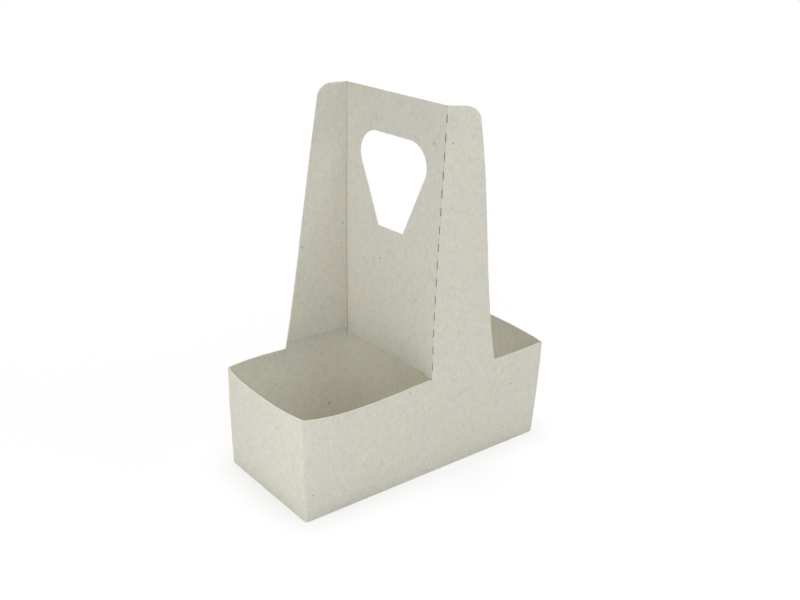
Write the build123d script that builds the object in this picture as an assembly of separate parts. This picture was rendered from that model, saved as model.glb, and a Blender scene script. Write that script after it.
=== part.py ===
"""Two-cup carrier with a handle, die-cut from one sheet of cardboard, folded and glued.

The carrier stands on its bottom. The origin is the middle of the bottom's outer face.
+X runs along the length, towards the side where the front wall rises into its riser.
+Y runs from the front wall to the back wall, and +Z is up. All lengths are millimetres.
"""
from build123d import *
import os
from math import cos, degrees, pi, radians, sin, tan

# Sheet, and the inner radius of its folds
board = 0.6
fold_radius = 0.5

# Tub
length = 210.5
width = 95.0
wall_height = 77.0

# The walls are straight at the bottom and belly out towards the rim.
# A wall's bow is measured outwards from the line between its two rim corners.
bow = 6.6
levels = 4

# How far each rim corner stands out past the bottom's corner, along X and along Y
front_left_shares = (0.11, -0.24)
front_right_shares = (0.26, 0.30)
back_left_shares = (0.20, 0.13)
back_right_shares = (0.15, -0.15)

# Along each wall: the place between its corners, and the bow there
front_bow_shares = ((0.08, 0.80), (0.20, 1.00), (0.35, 0.70), (0.50, 0.24), (0.78, 0.40), (0.92, 0.20))
back_bow_shares = ((0.10, 0.48), (0.25, 0.38), (0.48, -0.18), (0.75, 0.45), (0.90, 0.36))
left_bow_shares = ((0.22, 0.55), (0.55, 0.68), (0.85, 0.42))
right_bow_shares = ((0.20, 0.37), (0.50, 0.58), (0.80, 0.42))

# Handle panel: it crosses the tub from the front fold to the back fold.
# A fold's foot is at the rim and its head at the top, measured along X from the middle.
height = 268.0
front_fold_foot = -1.5
front_fold_head = 3.4
back_fold_foot = -5.2
back_fold_head = -7.4
head_inset = 0.3

# The panel's lower edge is cut a little over the rim, and comes down to it beside both folds
panel_lift = 2.2
panel_tail = 5.5
panel_tail_corner = 1.2

# Risers: their widths as cut, from the fold to the free edge
front_riser_foot = 57.5
front_riser_head = 20.5
back_riser_foot = 51.8
back_riser_head = 20.3
riser_corner = 10.0
riser_foot_corner = 1.5
riser_bend = 6.0

# The risers spring open at the top, about their folds. Angles are in degrees, at the top.
front_splay = 31.0
back_splay = 10.0
front_splay_power = 1.7
back_splay_power = 1.0
splay_levels = 3

# Hand hole, widest at its shoulders and narrow at the bottom
hole_below_top = 28.5
hole_height = 66.4
hole_bottom_width = 25.2
hole_shoulder_width = 63.0
hole_shoulder_height = 44.4
hole_cheek_width = 57.2
hole_cheek_height = 60.2
hole_top_width = 36.0

# Cut crease between handle panel and front riser: short slits with board left between them.
# The fold holds each slit open on its outside. Its depth is a share of the board.
slit_length = 5.6
slit_pitch = 12.33
slit_opening = 0.5
slit_depth_share = 0.75
slit_start = 10.1

# Bottom: two long flaps that hook into each other, and two short ones glued on top of them
flap_overlap = 11.0
hook_reach = 8.0
hook_over_reach = 16.0
hook_gap = 0.5
long_flap_cut = 16.0
short_flap_depth = 42.0
short_flap_taper = 16.0
corner_relief = 1.3

# Glue seam of the walls, inside the back wall at its right end
seam_width = 15.0
seam_gap = 3.0

# Extra length on every cutting tool
overrun = 5.0


def between(start, end, share):
    """The value a given share of the way from start to end."""
    return start + (end - start) * share


def swell(z):
    """Share of the rim's bow that the walls have at height z."""
    return sin(pi / 2 * z / wall_height)


def wall_corner(x_side, y_side, shares, inset, amount):
    """Corner of the walls' plan outline. x_side and y_side are -1 or 1."""
    out_x, out_y = shares
    x = x_side * (length / 2 + bow * amount * out_x - inset)
    y = y_side * (width / 2 + bow * amount * out_y - inset)
    return Vector(x, y)


def bowed_wall(start, end, outward, shares, amount, z):
    """One wall's plan curve from corner to corner, at height z."""
    points = [start]
    for place, out in shares:
        points.append(start + (end - start) * place + outward * (bow * out * amount))
    points.append(end)
    return Spline(*[Vector(point.X, point.Y, z) for point in points])


def tub_outline(z, inset):
    """Closed plan outline of the four walls at height z, moved inwards by inset."""
    amount = swell(z)
    front_left = wall_corner(-1, -1, front_left_shares, inset, amount)
    front_right = wall_corner(1, -1, front_right_shares, inset, amount)
    back_left = wall_corner(-1, 1, back_left_shares, inset, amount)
    back_right = wall_corner(1, 1, back_right_shares, inset, amount)
    front = bowed_wall(front_left, front_right, Vector(0, -1), front_bow_shares, amount, z)
    right = bowed_wall(front_right, back_right, Vector(1, 0), right_bow_shares, amount, z)
    back = bowed_wall(back_left, back_right, Vector(0, 1), back_bow_shares, amount, z)
    left = bowed_wall(front_left, back_left, Vector(-1, 0), left_bow_shares, amount, z)
    return Wire([front.edge(), right.edge(), back.edge(), left.edge()])


def riser_fold(side, share):
    """Plan place of a riser's fold at a share of the way from rim to top, and its splay there.

    side is 1 for the front riser, which stands on the right, and -1 for the back one.
    """
    y = -side * (width / 2 - head_inset * share)
    if side > 0:
        x = between(front_fold_foot, front_fold_head, share)
        return x, y, radians(front_splay * share**front_splay_power)
    x = between(back_fold_foot, back_fold_head, share)
    return x, y, radians(back_splay * share**back_splay_power)


def head_outline(z, inset):
    """Closed plan outline over the rim. Only its stretches along the risers are used."""
    share = (z - wall_height) / (height - wall_height)
    ends = []
    for side in (1, -1):
        x, y, splay = riser_fold(side, share)
        y += side * inset / cos(splay)
        left = Vector(-length / 2 + inset, y + tan(splay) * (x + length / 2), z)
        right = Vector(length / 2 - inset, y - tan(splay) * (length / 2 - x), z)
        ends.append((left, right))
    (front_left, front_right), (back_left, back_right) = ends
    front = Line(front_left, front_right)
    right = Line(front_right, back_right)
    back = Line(back_left, back_right)
    left = Line(front_left, back_left)
    return Wire([front.edge(), right.edge(), back.edge(), left.edge()])


def tub_block(inset):
    """Solid block inside the walls' outline, from the ground to a little over the rim."""
    top = wall_height + riser_bend
    heights = [top * step / levels for step in range(levels + 1)]
    block = Solid.make_loft([tub_outline(z, inset) for z in heights])
    corners = block.edges().filter_by(lambda edge: edge.bounding_box().size.Z > wall_height)
    return fillet(corners, fold_radius + max(board - inset, 0))


def head_block(inset):
    """Solid block inside the risers, from where the tub's block ends to past the handle's top."""
    low = wall_height + riser_bend
    high = height + overrun
    outlines = [tub_outline(low, inset)]
    for level in range(1, splay_levels + 1):
        outlines.append(head_outline(between(low, high, level / splay_levels), inset))
    return Solid.make_loft(outlines)


def riser_edge(side, share):
    """Point of a riser's free edge, seen from the front."""
    x, y, splay = riser_fold(side, share)
    if side > 0:
        reach = between(front_riser_foot, front_riser_head, share)
    else:
        reach = between(back_riser_foot, back_riser_head, share)
    return Vector(x + side * reach * cos(splay), between(wall_height, height, share))


def riser_outline(side):
    """Outline of a riser, seen from the front, with a strip of the wall below it.

    Its fold edge lies inside the handle panel's thickness.
    """
    fold_foot = riser_fold(side, 0)[0] + board / 2
    fold_head = riser_fold(side, 1)[0] + board / 2
    free_foot = riser_edge(side, 0)
    free_middle = riser_edge(side, 1 / 2)
    free_head = riser_edge(side, 1)
    past_foot = free_foot.X + side * overrun
    below_rim = wall_height - overrun
    outline = [
        Line((fold_foot, wall_height), (fold_head, height)),
        Line((fold_head, height), free_head),
        ThreePointArc(free_head, free_middle, free_foot),
        Line(free_foot, (past_foot, wall_height)),
        Line((past_foot, wall_height), (past_foot, below_rim)),
        Line((past_foot, below_rim), (fold_foot, below_rim)),
        Line((fold_foot, below_rim), (fold_foot, wall_height)),
    ]
    face = make_face(outline)
    face = fillet(face.vertices().sort_by_distance(free_head)[0], riser_corner)
    return fillet(face.vertices().sort_by_distance(free_foot)[0], riser_foot_corner)


def offcut(side):
    """What the die cuts away above the rim, in the front half or in the back half."""
    top = height + 2 * overrun
    middle = between(wall_height, top, 1 / 2)
    sheet = Pos(0, middle) * Rectangle(2 * length, top - wall_height)
    face = sheet - riser_outline(side)
    return extrude(Plane.XZ * face, amount=length, dir=(0, -side, 0))


def walls_and_risers():
    """Tub walls with both risers. The handle panel's glue flap backs the back riser."""
    walls = tub_block(0) - tub_block(board)
    single = head_block(0) - head_block(board)
    double = head_block(0) - head_block(2 * board)
    for side in (1, -1):
        waste = offcut(side)
        walls -= waste
        single -= waste
        double -= waste
    front = single.solids().sort_by(Axis.Y)[0]
    back = double.solids().sort_by(Axis.Y)[-1]
    return walls + front + back


def panel_section(front_x, back_x, z):
    """Plan section of the handle panel at height z, run on past both folds."""
    front = Vector(front_x, -width / 2, z)
    back = Vector(back_x, width / 2, z)
    past = (back - front).normalized() * overrun
    thick = Vector(board, 0)
    front -= past
    back += past
    return Wire.make_polygon([front, back, back + thick, front + thick])


def hand_hole():
    """Cutter for the hand hole, seen along the length."""
    bottom = height - hole_below_top - hole_height
    low = Vector(hole_bottom_width / 2, bottom)
    shoulder = Vector(hole_shoulder_width / 2, bottom + hole_shoulder_height)
    cheek = Vector(hole_cheek_width / 2, bottom + hole_cheek_height)
    top = Vector(hole_top_width / 2, bottom + hole_height)
    half = [
        Line((0, bottom), low),
        Line(low, shoulder),
        ThreePointArc(shoulder, cheek, top),
        Line(top, (0, bottom + hole_height)),
    ]
    outline = half + [mirror(edge, Plane.YZ) for edge in half]
    return extrude(Plane.YZ * make_face(outline), amount=width / 2, both=True)


def panel_notch():
    """Cutter for the panel's lower edge, seen along the length."""
    low = wall_height - overrun
    high = wall_height + panel_lift
    notch = Pos(0, between(low, high, 1 / 2)) * Rectangle(width - 2 * panel_tail, high - low)
    notch = chamfer(notch.vertices().group_by(Axis.Y)[-1], panel_tail_corner)
    return extrude(Plane.YZ * notch, amount=length / 2, both=True)


def panel_sheet():
    """The handle panel's board, run on past both folds, with nothing cut out of it."""
    foot = panel_section(front_fold_foot, back_fold_foot, wall_height)
    head = panel_section(front_fold_head, back_fold_head, height)
    return Solid.make_loft([foot, head], ruled=True)


def handle_panel():
    """Handle panel from front fold to back fold."""
    return (panel_sheet() - hand_hole() - panel_notch()) & (tub_block(0) + head_block(0))


def crease_slits():
    """Cutters for the slits along the front fold. Each enters the fold's outer corner."""
    panel = panel_sheet() & head_block(0)
    uprights = panel.edges().filter_by(lambda edge: edge.length > height / 2)
    fold = uprights.sort_by(Axis.Y)[:2].sort_by(Axis.X)[0]
    low = min((fold @ 0).Z, (fold @ 1).Z)
    count = int((height - wall_height - slit_start - slit_length) / slit_pitch) + 1
    for number in range(count):
        z = wall_height + slit_start + number * slit_pitch
        share = (z - low) / (height - low)
        if (fold @ 0).Z > low:
            share = 1 - share
        splay = riser_fold(1, (z - wall_height) / (height - wall_height))[2]
        place = Pos(fold @ share) * Rot(0, 0, 45 - degrees(splay) / 2)
        yield place * Box(2 * board * slit_depth_share, slit_opening, slit_length)


def flap(points, layer):
    """A bottom flap of one board's thickness. Layer 0 lies on the ground."""
    face = make_face(Polyline(*points, close=True))
    return extrude(Pos(0, 0, layer * board) * face, amount=board, dir=(0, 0, 1))


def bottom():
    """Locked bottom. Each long flap passes under the other one on its own half."""
    end = length / 2
    side = width / 2
    gap = hook_gap / 2
    front_under = [
        (-end, -side),
        (hook_reach, -side),
        (-hook_reach - gap, -flap_overlap),
        (hook_reach - gap, flap_overlap),
        (-end + long_flap_cut, flap_overlap),
        (-end, flap_overlap - long_flap_cut),
    ]
    front_over = [
        (-hook_over_reach, -side),
        (end, -side),
        (end, flap_overlap - long_flap_cut),
        (end - long_flap_cut, flap_overlap),
        (hook_over_reach + gap, flap_overlap),
        (-hook_over_reach + gap, -flap_overlap),
    ]
    short = [
        (-end, -side + board),
        (-end + short_flap_depth, -side + short_flap_taper),
        (-end + short_flap_depth, side - 2 * board),
        (-end, side - 2 * board),
    ]
    flaps = [flap(front_under, 0), flap(front_over, 1), flap(short, 2)]
    flaps += [Rot(0, 0, 180) * piece for piece in flaps]
    inside = tub_block(board / 2)
    return [piece & inside for piece in flaps]


def seam_flap():
    """Glue flap of the walls: a second layer of board inside the back wall's right end."""
    low = 3 * board + seam_gap
    high = wall_height - seam_gap
    x = between(length / 2 - seam_width, length / 2 + overrun, 1 / 2)
    strip = Pos(x, width / 2, between(low, high, 1 / 2)) * Box(seam_width + overrun, overrun, high - low)
    return strip & (tub_block(board / 2) - tub_block(2 * board))


def corner_reliefs():
    """Small openings where three folds meet at each bottom corner."""
    size = corner_relief * 2**0.5
    for x in (-length / 2, length / 2):
        for y in (-width / 2, width / 2):
            yield Pos(x, y, 0) * Rot(0, 0, 45) * Box(size, size, 2 * corner_relief)


def folded_carrier():
    """The whole carrier as one solid, with every glued seam fused."""
    carrier = walls_and_risers() + handle_panel()
    for piece in bottom():
        carrier += piece
    carrier += seam_flap()
    for cut in crease_slits():
        carrier -= cut
    for cut in corner_reliefs():
        carrier -= cut
    return carrier


os.makedirs("parts", exist_ok=True)
carrier = folded_carrier()
carrier.label = "folded_carrier"
export_step(carrier, "parts/folded_carrier.step")
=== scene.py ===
from math import radians

import bmesh
import bpy
from mathutils import Matrix, Vector

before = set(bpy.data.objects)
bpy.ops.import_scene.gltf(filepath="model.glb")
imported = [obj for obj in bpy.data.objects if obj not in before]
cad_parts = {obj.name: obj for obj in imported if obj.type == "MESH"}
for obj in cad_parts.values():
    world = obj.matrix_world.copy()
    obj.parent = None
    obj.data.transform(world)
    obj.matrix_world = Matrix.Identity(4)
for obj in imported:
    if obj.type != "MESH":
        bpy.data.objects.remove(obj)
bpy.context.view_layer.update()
scene = bpy.context.scene
scene.view_settings.view_transform = "Standard"


# Camera. It stands off the carrier's front left corner, over its top, and is tipped a little, so
# that uprights lean to the right. Its place and its three turns were worked out from where the
# carrier's edges lie in the photograph.
camera_place = Vector((-0.4370, -0.5476, 0.4176))
camera_azimuth = radians(39.1)
camera_elevation = radians(23.03)
camera_roll = radians(1.785)
camera_lens_mm = 48.12
camera_film_mm = 36.0
quarter_turn = radians(90)

camera_data = bpy.data.cameras.new("camera")
camera_data.lens = camera_lens_mm
camera_data.sensor_width = camera_film_mm
camera = bpy.data.objects.new("camera", camera_data)
scene.collection.objects.link(camera)
camera.matrix_world = (
    Matrix.Translation(camera_place)
    @ Matrix.Rotation(-camera_azimuth, 4, "Z")
    @ Matrix.Rotation(quarter_turn - camera_elevation, 4, "X")
    @ Matrix.Rotation(camera_roll, 4, "Z")
)
scene.camera = camera


# Folded sheet. The whole carrier is one sheet of grey board, pressed from recycled paper, die-cut,
# folded along scored lines and glued to itself. It is uncoated and matt, and shows its pulp:
# clouds, fibres, specks of old print, pale bits of paper and rubbed edges. Its colour also holds a
# painted highlight along its edges and painted shade in creases, slits and inner corners.
cool_board = (0.639, 0.632, 0.557, 1.0)
warm_board = (0.660, 0.640, 0.547, 1.0)
thin_pulp = (0.520, 0.505, 0.440, 1.0)
thick_pulp = (0.745, 0.730, 0.650, 1.0)
grey_fibre = (0.350, 0.340, 0.295, 1.0)
old_print = (0.190, 0.185, 0.165, 1.0)
white_paper = (0.800, 0.790, 0.730, 1.0)
rubbed_edge_and_highlight = (0.775, 0.755, 0.675, 1.0)
painted_shade = (0.170, 0.155, 0.125, 1.0)
board_gloss = 0.2
board_roughness = (0.84, 0.98)

# Sizes of what the pulp shows, in metres, and how far each is pressed into the surface
cloud_size = 0.034
mottling_size = 0.0048
lump_size = 0.0021
lump_lift = 0.00006
fibre_size = 0.0006
fibre_stretch = 6.0
fibre_lift = 0.000025
wave_size = 0.045
wave_lift = 0.0007
pulp_roughness = 0.6

# Where each stain starts on its noise, where it is full, and its share of the colour there
warm_clouds = (0.35, 0.65, 1.0)
thin_patches = (0.52, 0.28, 0.42)
thick_lumps = (0.50, 0.72, 0.42)
dark_fibres = (0.47, 0.25, 0.50)
pale_fibres = (0.56, 0.75, 0.50)

# Specks: how far apart they lie, their radius, both in metres, and their share of the colour
fibre_specks = (0.0056, 0.00052, 0.42)
paper_specks = (0.0080, 0.00060, 0.70)
print_specks = (0.0145, 0.00080, 0.66)
speck_rim = 1.25
speck_core = 0.55

# Folded and cut edges: how far they are rounded, and how much they are made pale, partly as rubbed
# wear and partly as a painted highlight
edge_radius = 0.0003
edge_samples = 6
edge_rub_and_highlight = (0.995, 0.85, 0.28)

# Painted shade in creases, slits and inner corners: how near their sides lie, and how dark the
# shade painted inside them is
crease_reach = 0.0011
crease_samples = 8
crease_shade = (0.86, 0.50, 0.62)

# Front fold, which is cut as well as creased, and has more painted shade in its slits and along
# its edge: its middle, lean and reach
fold_middle = (0.00097, -0.0480, 0.1734)
fold_lean = radians(1.47)
fold_reach = (0.0018, 0.0024, 0.1250)
fold_border = (0.0, 0.05, 1.0)
fold_slit_shade = (0.97, 0.80, 0.95)
fold_edge_shade = (0.990, 0.90, 0.30)

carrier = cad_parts["folded_carrier"]
board = bpy.data.materials.new("recycled_board")
board.use_nodes = True
nodes = board.node_tree.nodes
links = board.node_tree.links
shader = nodes["Principled BSDF"]
shader.inputs["Specular IOR Level"].default_value = board_gloss
place = nodes.new("ShaderNodeTexCoord").outputs["Object"]

# A Mix node's colour sockets go by number, because its other sockets have the same names
mix_share, mix_under, mix_over, mix_colour = 0, 6, 7, 2


def pulp_noise(size, stretch=1.0, detail=3.0):
    """Blotches of about this size in metres, drawn out upwards by stretch."""
    grain = nodes.new("ShaderNodeMapping")
    grain.inputs["Scale"].default_value = (1 / size, 1 / size, 1 / size / stretch)
    links.new(place, grain.inputs["Vector"])
    noise = nodes.new("ShaderNodeTexNoise")
    noise.inputs["Scale"].default_value = 1.0
    noise.inputs["Detail"].default_value = detail
    noise.inputs["Roughness"].default_value = pulp_roughness
    links.new(grain.outputs["Vector"], noise.inputs["Vector"])
    return noise.outputs["Fac"]


def faded(value, low, high, most):
    """Share that rises from zero to most as the value goes from low to high."""
    ramp = nodes.new("ShaderNodeMapRange")
    ramp.inputs["From Min"].default_value = low
    ramp.inputs["From Max"].default_value = high
    ramp.inputs["To Max"].default_value = most
    links.new(value, ramp.inputs["Value"])
    return ramp.outputs["Result"]


def specks(spacing, radius, most):
    """Round specks in the pulp, with ragged edges. Sizes are in metres."""
    ragged = nodes.new("ShaderNodeTexNoise")
    ragged.inputs["Scale"].default_value = 1 / radius
    ragged.inputs["Detail"].default_value = 1.0
    links.new(place, ragged.inputs["Vector"])
    pushed = nodes.new("ShaderNodeVectorMath")
    pushed.operation = "MULTIPLY_ADD"
    pushed.inputs[1].default_value = (radius, radius, radius)
    links.new(ragged.outputs["Color"], pushed.inputs[0])
    links.new(place, pushed.inputs[2])
    cells = nodes.new("ShaderNodeTexVoronoi")
    cells.inputs["Scale"].default_value = 1 / spacing
    links.new(pushed.outputs["Vector"], cells.inputs["Vector"])
    rim = speck_rim * radius / spacing
    core = speck_core * radius / spacing
    return faded(cells.outputs["Distance"], rim, core, most)


def stained(colour, share, stain):
    """The colour with a share of another one laid over it."""
    coat = nodes.new("ShaderNodeMix")
    coat.data_type = "RGBA"
    coat.inputs[mix_over].default_value = stain
    links.new(share, coat.inputs[mix_share])
    links.new(colour, coat.inputs[mix_under])
    return coat.outputs[mix_colour]


clouds = pulp_noise(cloud_size, detail=2.0)
mottling = pulp_noise(mottling_size, detail=4.0)
lumps = pulp_noise(lump_size)
fibres = pulp_noise(fibre_size, fibre_stretch, detail=2.0)

blend = nodes.new("ShaderNodeMix")
blend.data_type = "RGBA"
blend.inputs[mix_under].default_value = cool_board
blend.inputs[mix_over].default_value = warm_board
links.new(faded(clouds, *warm_clouds), blend.inputs[mix_share])
colour = blend.outputs[mix_colour]
colour = stained(colour, faded(mottling, *thin_patches), thin_pulp)
colour = stained(colour, faded(lumps, *thick_lumps), thick_pulp)
colour = stained(colour, faded(fibres, *dark_fibres), thin_pulp)
colour = stained(colour, faded(fibres, *pale_fibres), white_paper)
colour = stained(colour, specks(*fibre_specks), grey_fibre)
colour = stained(colour, specks(*paper_specks), white_paper)
colour = stained(colour, specks(*print_specks), old_print)

# Edges made pale where the board turns: partly rubbed wear, partly a painted highlight
rounding = nodes.new("ShaderNodeBevel")
rounding.samples = edge_samples
rounding.inputs["Radius"].default_value = edge_radius
flat = nodes.new("ShaderNodeNewGeometry")
turned = nodes.new("ShaderNodeVectorMath")
turned.operation = "DOT_PRODUCT"
links.new(rounding.outputs["Normal"], turned.inputs[0])
links.new(flat.outputs["Normal"], turned.inputs[1])
colour = stained(colour, faded(turned.outputs["Value"], *edge_rub_and_highlight), rubbed_edge_and_highlight)

# Painted shade: the colour is darker where ambient occlusion finds the board's sides close, in
# creases, slits and inner corners
crevice = nodes.new("ShaderNodeAmbientOcclusion")
crevice.samples = crease_samples
crevice.only_local = True
crevice.inputs["Distance"].default_value = crease_reach
colour = stained(colour, faded(crevice.outputs["AO"], *crease_shade), painted_shade)

# More painted shade at the front fold, in its slits and along its edge, inside a zone round that
# fold
along_fold = nodes.new("ShaderNodeMapping")
along_fold.vector_type = "TEXTURE"
along_fold.inputs["Location"].default_value = fold_middle
along_fold.inputs["Rotation"].default_value = (0.0, fold_lean, 0.0)
along_fold.inputs["Scale"].default_value = fold_reach
links.new(place, along_fold.inputs["Vector"])
by_fold = nodes.new("ShaderNodeTexGradient")
by_fold.gradient_type = "SPHERICAL"
links.new(along_fold.outputs["Vector"], by_fold.inputs["Vector"])
at_fold = faded(by_fold.outputs["Fac"], *fold_border)
for share in (
    faded(crevice.outputs["AO"], *fold_slit_shade),
    faded(turned.outputs["Value"], *fold_edge_shade),
):
    fold_shade = nodes.new("ShaderNodeMath")
    fold_shade.operation = "MULTIPLY"
    links.new(at_fold, fold_shade.inputs[0])
    links.new(share, fold_shade.inputs[1])
    colour = stained(colour, fold_shade.outputs["Value"], painted_shade)
links.new(colour, shader.inputs["Base Color"])

roughness = nodes.new("ShaderNodeMapRange")
roughness.inputs["To Min"].default_value = board_roughness[0]
roughness.inputs["To Max"].default_value = board_roughness[1]
links.new(lumps, roughness.inputs["Value"])
links.new(roughness.outputs["Result"], shader.inputs["Roughness"])


def raised(height, lift, normal):
    """The surface with this height pressed into it, lift metres from lowest to highest."""
    press = nodes.new("ShaderNodeBump")
    press.inputs["Strength"].default_value = 1.0
    press.inputs["Distance"].default_value = lift
    links.new(height, press.inputs["Height"])
    links.new(normal, press.inputs["Normal"])
    return press.outputs["Normal"]


surface = raised(pulp_noise(wave_size, detail=1.0), wave_lift, rounding.outputs["Normal"])
surface = raised(lumps, lump_lift, surface)
surface = raised(fibres, fibre_lift, surface)
links.new(surface, shader.inputs["Normal"])

carrier.data.materials.clear()
carrier.data.materials.append(board)


# Floor. A plain pale sweep that the carrier stands on. Away from the carrier it is seen as
# white as the room round it, and near the carrier it keeps the soft shadow.
floor_half_size = 3.0
floor_colour = (0.80, 0.80, 0.80, 1.0)
floor_glow = 1.0
shadow_reach = (0.10, 0.42)
shadow_share = 0.30

floor_form = bmesh.new()
bmesh.ops.create_grid(floor_form, x_segments=1, y_segments=1, size=floor_half_size)
floor_mesh = bpy.data.meshes.new("floor")
floor_form.to_mesh(floor_mesh)
floor_form.free()
floor = bpy.data.objects.new("floor", floor_mesh)
scene.collection.objects.link(floor)

floor_paint = bpy.data.materials.new("floor_paint")
floor_paint.use_nodes = True
nodes = floor_paint.node_tree.nodes
links = floor_paint.node_tree.links
nodes.clear()
matt = nodes.new("ShaderNodeBsdfDiffuse")
matt.inputs["Color"].default_value = floor_colour
glow = nodes.new("ShaderNodeEmission")
glow.inputs["Strength"].default_value = floor_glow
spot = nodes.new("ShaderNodeTexCoord")
far = nodes.new("ShaderNodeVectorMath")
far.operation = "LENGTH"
links.new(spot.outputs["Object"], far.inputs[0])
white_share = nodes.new("ShaderNodeMapRange")
white_share.interpolation_type = "SMOOTHSTEP"
white_share.inputs["From Min"].default_value = shadow_reach[0]
white_share.inputs["From Max"].default_value = shadow_reach[1]
white_share.inputs["To Min"].default_value = 1 - shadow_share
white_share.inputs["To Max"].default_value = 1.0
links.new(far.outputs["Value"], white_share.inputs["Value"])
path = nodes.new("ShaderNodeLightPath")
seen = nodes.new("ShaderNodeMath")
seen.operation = "MULTIPLY"
links.new(path.outputs["Is Camera Ray"], seen.inputs[0])
links.new(white_share.outputs["Result"], seen.inputs[1])
cover = nodes.new("ShaderNodeMixShader")
links.new(seen.outputs["Value"], cover.inputs["Fac"])
links.new(matt.outputs["BSDF"], cover.inputs[1])
links.new(glow.outputs["Emission"], cover.inputs[2])
ground = nodes.new("ShaderNodeOutputMaterial")
links.new(cover.outputs["Shader"], ground.inputs["Surface"])
floor.data.materials.append(floor_paint)


# Light. A soft lamp over the carrier, small weak ones close round all its sides, and an even white
# room, which lights it weakly but is seen as full white. The lamps themselves aren't seen.
room_colour = (1.0, 1.0, 1.0, 1.0)
room_strength = 0.108
seen_strength = 1.0

room = bpy.data.worlds.new("room")
scene.world = room
room.use_nodes = True
nodes = room.node_tree.nodes
links = room.node_tree.links
nodes.clear()
air = nodes.new("ShaderNodeBackground")
air.inputs["Color"].default_value = room_colour
air.inputs["Strength"].default_value = room_strength
white = nodes.new("ShaderNodeBackground")
white.inputs["Color"].default_value = room_colour
white.inputs["Strength"].default_value = seen_strength
path = nodes.new("ShaderNodeLightPath")
direct = nodes.new("ShaderNodeMath")
direct.operation = "MAXIMUM"
links.new(path.outputs["Is Camera Ray"], direct.inputs[0])
links.new(path.outputs["Is Glossy Ray"], direct.inputs[1])
cover = nodes.new("ShaderNodeMixShader")
links.new(direct.outputs["Value"], cover.inputs["Fac"])
links.new(air.outputs["Background"], cover.inputs[1])
links.new(white.outputs["Background"], cover.inputs[2])
sky = nodes.new("ShaderNodeOutputWorld")
links.new(cover.outputs["Shader"], sky.inputs["Surface"])

# Each lamp: where it stands and its size across, in metres, and its power in watts
lamps = {
    "lamp_over": ((0.0, 0.0, 1.70), 0.9, 24.0),
    "lamp_left": ((-0.50, 0.0, 0.08), 0.3, 0.88),
    "lamp_front_left": ((-0.25, -0.50, 0.30), 0.3, 0.84),
    "lamp_front_right": ((0.30, -0.50, 0.35), 0.4, 0.80),
    "lamp_right": ((0.50, 0.0, 0.20), 0.4, 0.50),
    "lamp_back": ((0.0, 0.55, 0.25), 0.4, 0.80),
}
aim = Vector((0.0, 0.0, 0.1))
for name, (stand, size, power) in lamps.items():
    data = bpy.data.lights.new(name, "AREA")
    data.shape = "DISK"
    data.size = size
    data.energy = power
    lamp = bpy.data.objects.new(name, data)
    scene.collection.objects.link(lamp)
    lamp.visible_camera = False
    lamp.location = stand
    lamp.rotation_euler = (aim - Vector(stand)).to_track_quat("-Z", "Y").to_euler()
